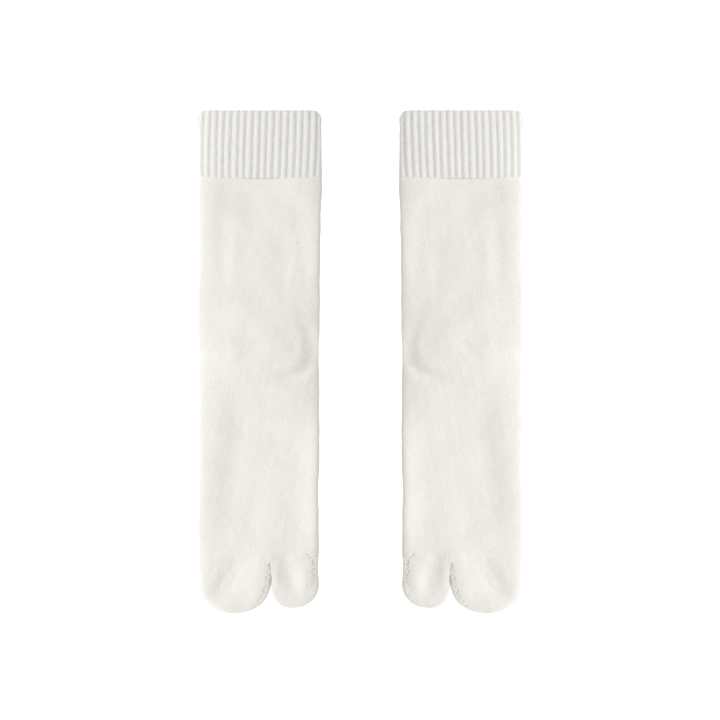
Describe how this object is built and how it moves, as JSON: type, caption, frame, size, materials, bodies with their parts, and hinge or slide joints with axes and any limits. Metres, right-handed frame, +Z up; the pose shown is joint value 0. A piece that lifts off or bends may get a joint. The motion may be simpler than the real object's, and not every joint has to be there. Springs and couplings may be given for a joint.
{
  "type": "pair of split-toe tabi socks",
  "caption": "Pair of knitted split-toe socks with ribbed cuffs, laid flat side by side with the instep up and the toes level.",
  "frame": {"origin": "on the surface that the socks lie on, in the middle of the pair", "axes": "+Z up out of the surface, through the instep; +Y along the socks from the toes to the cuffs; -X towards the right foot's sock"},
  "size_m": [0.2616, 0.4019, 0.013],
  "materials": {
    "rib_knit": "ribbed cotton knit, matt, slightly cool white",
    "plain_knit": "plain cotton knit, matt, with a soft nap, warm off-white",
    "heel_knit": "plain cotton knit, matt, folded in two layers",
    "toe_knit": "plain cotton knit, matt, with linking stitches at its edges"
  },
  "bodies": {
    "root": {"right_cuff": "rib_knit", "right_leg_foot": "plain_knit", "right_heel": "heel_knit", "right_toes": "toe_knit", "right_big_toe": "toe_knit", "left_cuff": "rib_knit", "left_leg_foot": "plain_knit", "left_heel": "heel_knit", "left_toes": "toe_knit", "left_big_toe": "toe_knit"}
  },
  "joints": []
}
